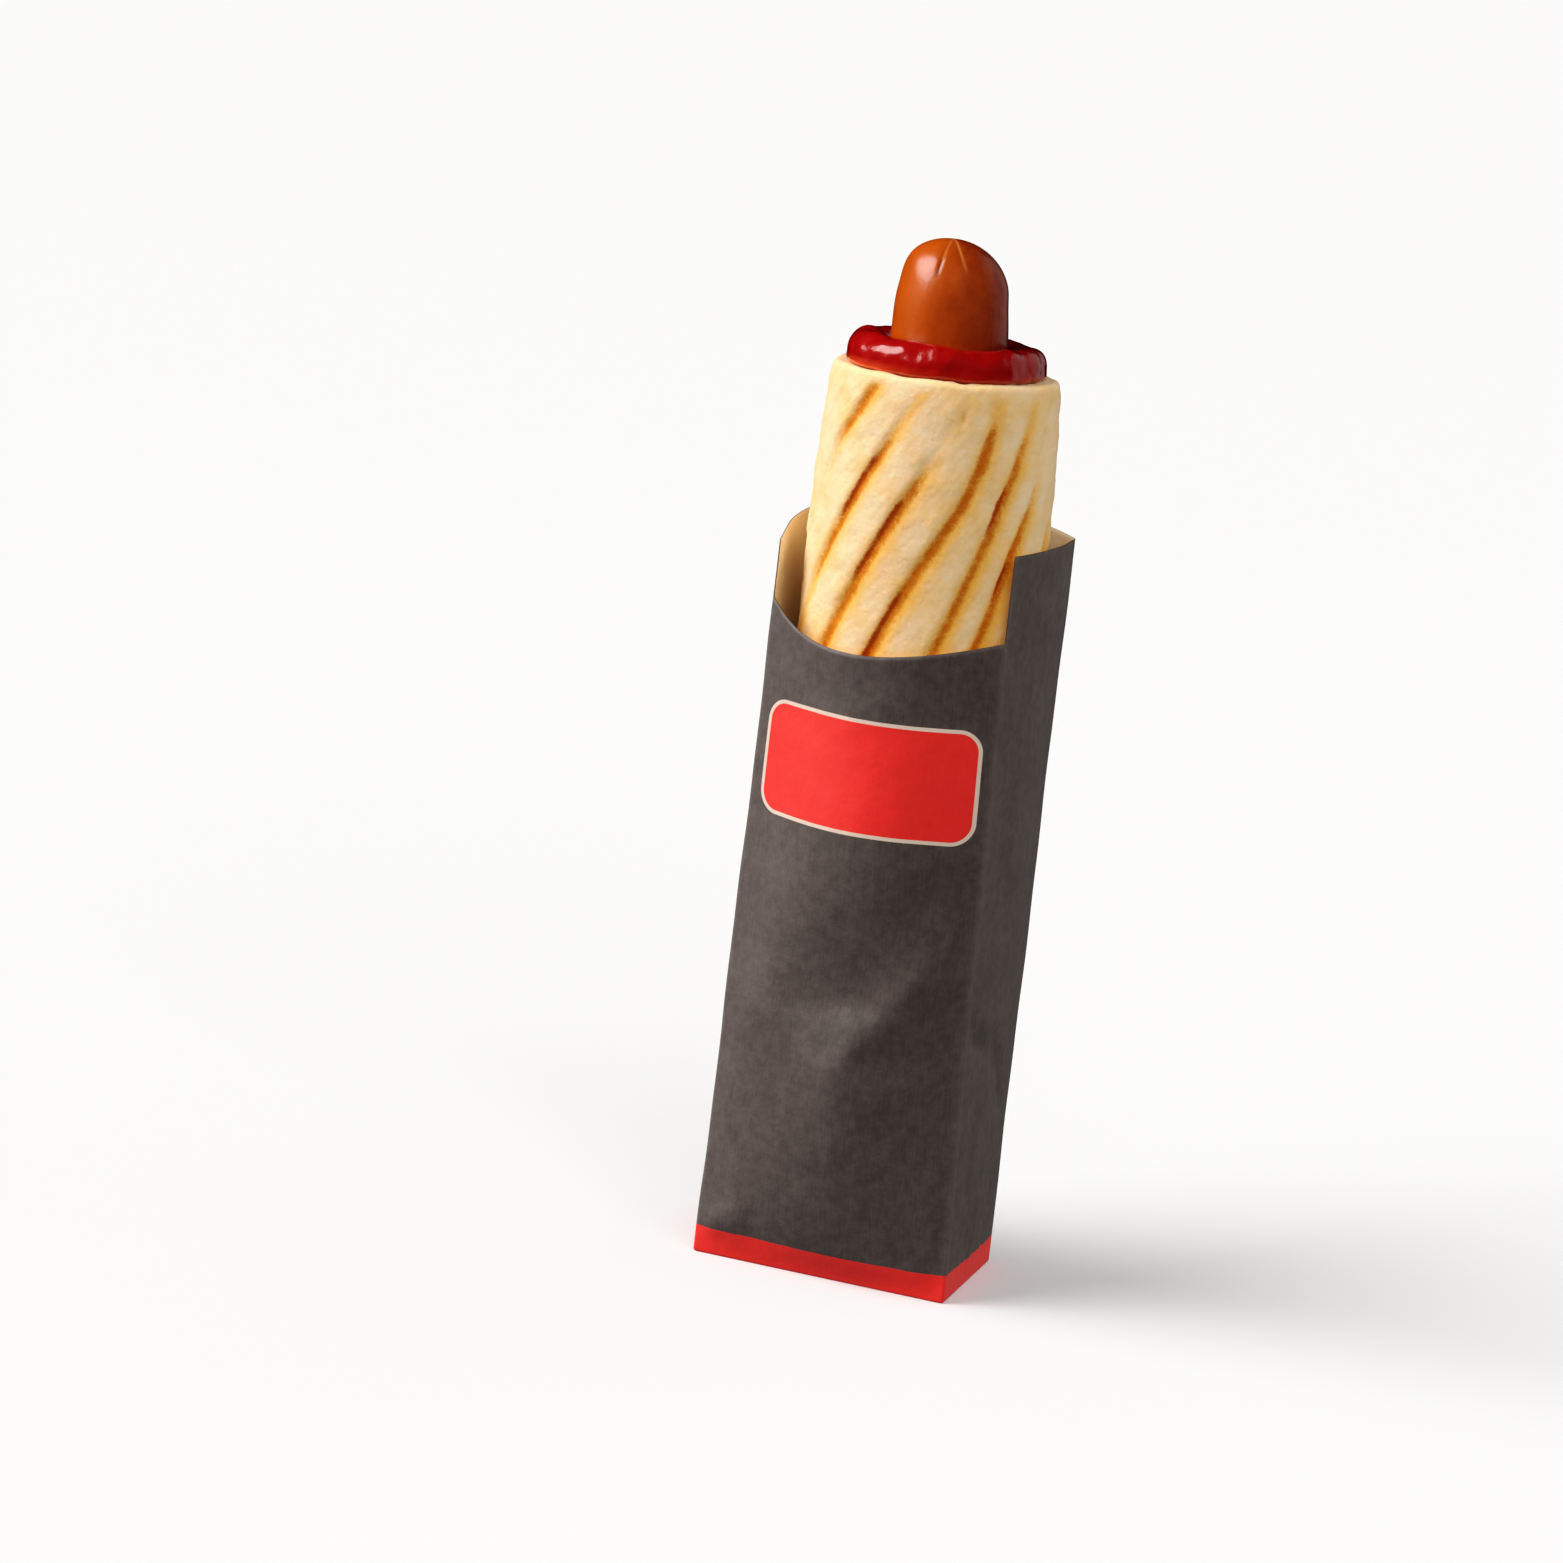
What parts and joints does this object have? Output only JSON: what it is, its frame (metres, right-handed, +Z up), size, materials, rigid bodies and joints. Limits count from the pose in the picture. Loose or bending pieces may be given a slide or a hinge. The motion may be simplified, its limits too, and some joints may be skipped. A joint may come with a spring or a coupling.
{
  "type": "hot dog",
  "caption": "Grilled roll with a sausage down its middle and a ring of ketchup round the tip, standing in an open block-bottom paper sleeve.",
  "frame": {"origin": "middle of the sleeve's flat bottom, on the surface it stands on", "axes": "+Z up along the roll, the sleeve's scooped front panel faces -Y, +X to the right of that panel"},
  "size_m": [0.0618, 0.0541, 0.2374],
  "materials": {
    "paper": "uncoated kraft, printed dark grey outside with a red foot band and a red label, bare tan inside",
    "bread": "soft matte crumbly crust with caramel grill marks",
    "sausage": "taut satin casing",
    "ketchup": "wet gloss"
  },
  "bodies": {
    "root": {"sleeve": "paper", "roll": "bread", "sausage": "sausage", "ketchup": "ketchup"}
  },
  "joints": []
}
